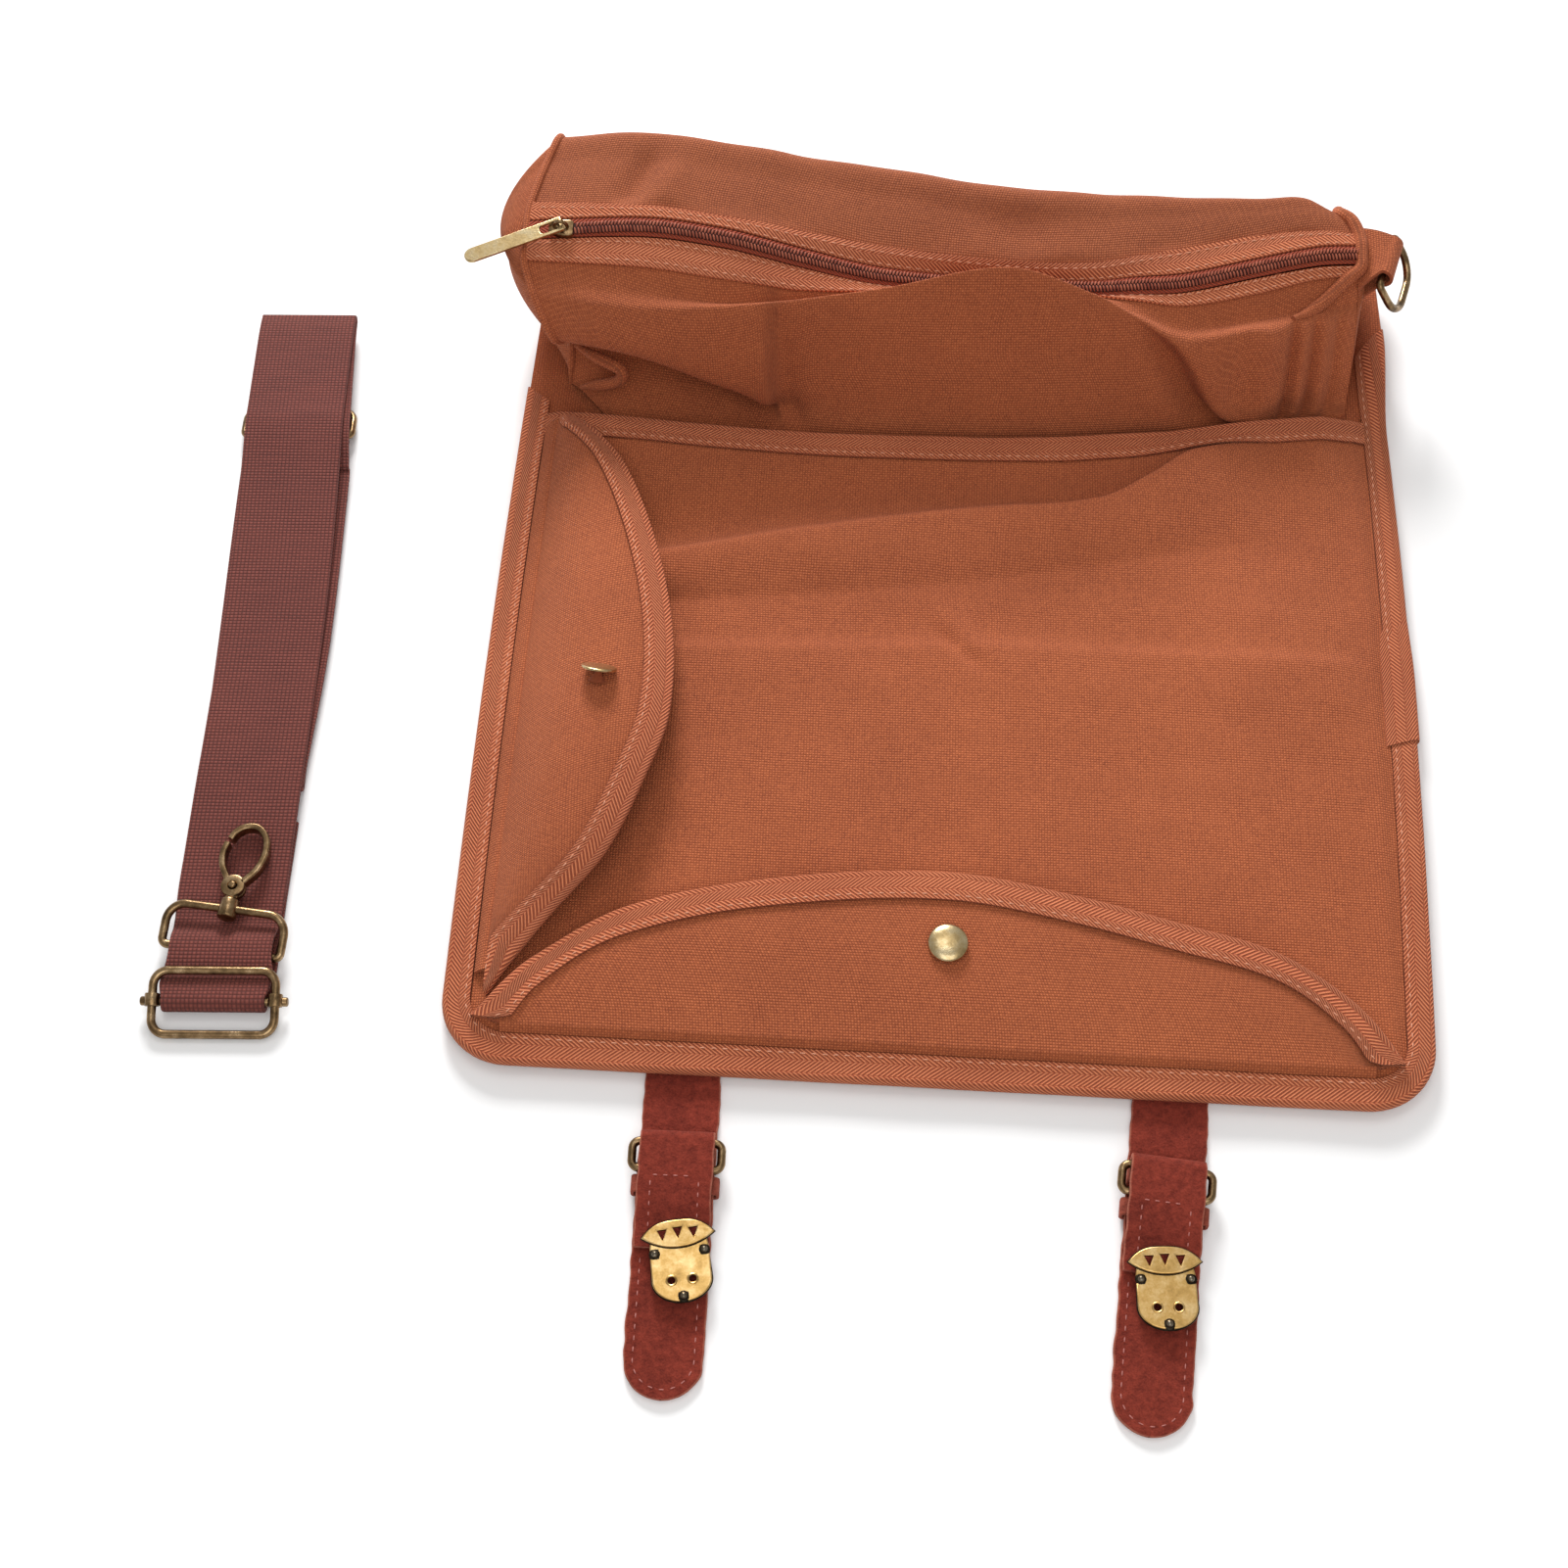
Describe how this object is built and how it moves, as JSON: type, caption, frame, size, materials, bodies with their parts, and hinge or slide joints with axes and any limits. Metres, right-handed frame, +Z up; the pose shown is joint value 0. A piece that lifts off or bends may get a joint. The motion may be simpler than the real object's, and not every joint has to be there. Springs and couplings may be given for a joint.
{
  "type": "bartender roll bag",
  "caption": "Canvas tool roll bag lying unrolled, with a flap-covered pocket panel, a zip compartment along one end, two suede closing tabs and a detached webbing shoulder strap.",
  "frame": {"origin": "middle of the underside of the base panel, on the surface that the bag lies on", "axes": "+X along the bag's width to the D-ring's side, +Y from the suede tabs to the zip compartment, +Z up"},
  "size_m": [0.453, 0.4776, 0.0748],
  "materials": {
    "canvas": "coarse plain-weave cotton canvas, matt",
    "twill_tape": "herringbone twill tape, matt",
    "zip": "woven tape with a coil chain",
    "antique_brass": "antique, dark in the recesses and bright on worn edges",
    "suede": "napped suede with raw cut edges",
    "webbing": "ribbed cotton webbing, matt"
  },
  "bodies": {
    "bag": {"base_panel": "canvas", "pocket_panel": "canvas", "side_flap": "canvas", "front_flap": "canvas", "compartment_front": "canvas", "compartment_back": "canvas", "compartment_end_left": "canvas", "compartment_end_right": "canvas", "ring_tab": "canvas", "base_binding": "twill_tape", "pocket_binding": "twill_tape", "side_flap_binding": "twill_tape", "front_flap_binding": "twill_tape", "zip_facing_lower": "twill_tape", "zip_facing_upper": "twill_tape", "zip_tape": "zip", "zip_chain": "zip", "front_snap_cap": "antique_brass", "side_snap_cap": "antique_brass", "zip_slider": "antique_brass", "tab_buckle_left": "antique_brass", "lock_plate_left": "antique_brass", "tab_buckle_right": "antique_brass", "lock_plate_right": "antique_brass", "slider_frame": "antique_brass", "slider_bar": "antique_brass", "hook_loop": "antique_brass", "hook_body": "antique_brass", "hook_hidden": "antique_brass", "tab_strap_left": "suede", "lock_strap_left": "suede", "tab_keeper_left": "suede", "tab_strap_right": "suede", "lock_strap_right": "suede", "tab_keeper_right": "suede", "shoulder_webbing": "webbing"},
    "zip_pull": {"zip_pull": "antique_brass"},
    "d_ring": {"d_ring": "antique_brass"},
    "hook_gate": {"hook_gate": "antique_brass"}
  },
  "joints": [
    {"name": "zip_pull_hinge", "type": "hinge", "parent": "bag", "child": "zip_pull", "pos_m": [-0.1515, 0.1264, 0.0722], "axis": [-0.342, 0.9397, 0], "range_deg": [0, 140]},
    {"name": "d_ring_hinge", "type": "hinge", "parent": "bag", "child": "d_ring", "pos_m": [0.1632, 0.15, 0.0465], "axis": [-0.2756, -0.9613, 0], "range_deg": [0, 110]},
    {"name": "hook_gate_hinge", "type": "hinge", "parent": "bag", "child": "hook_gate", "pos_m": [-0.24339, -0.12568, 0.0082], "axis": [0, 0, -1], "range_deg": [0, 25], "stiffness_Nm_per_rad": 0.02, "springref_deg": -11.46}
  ]
}
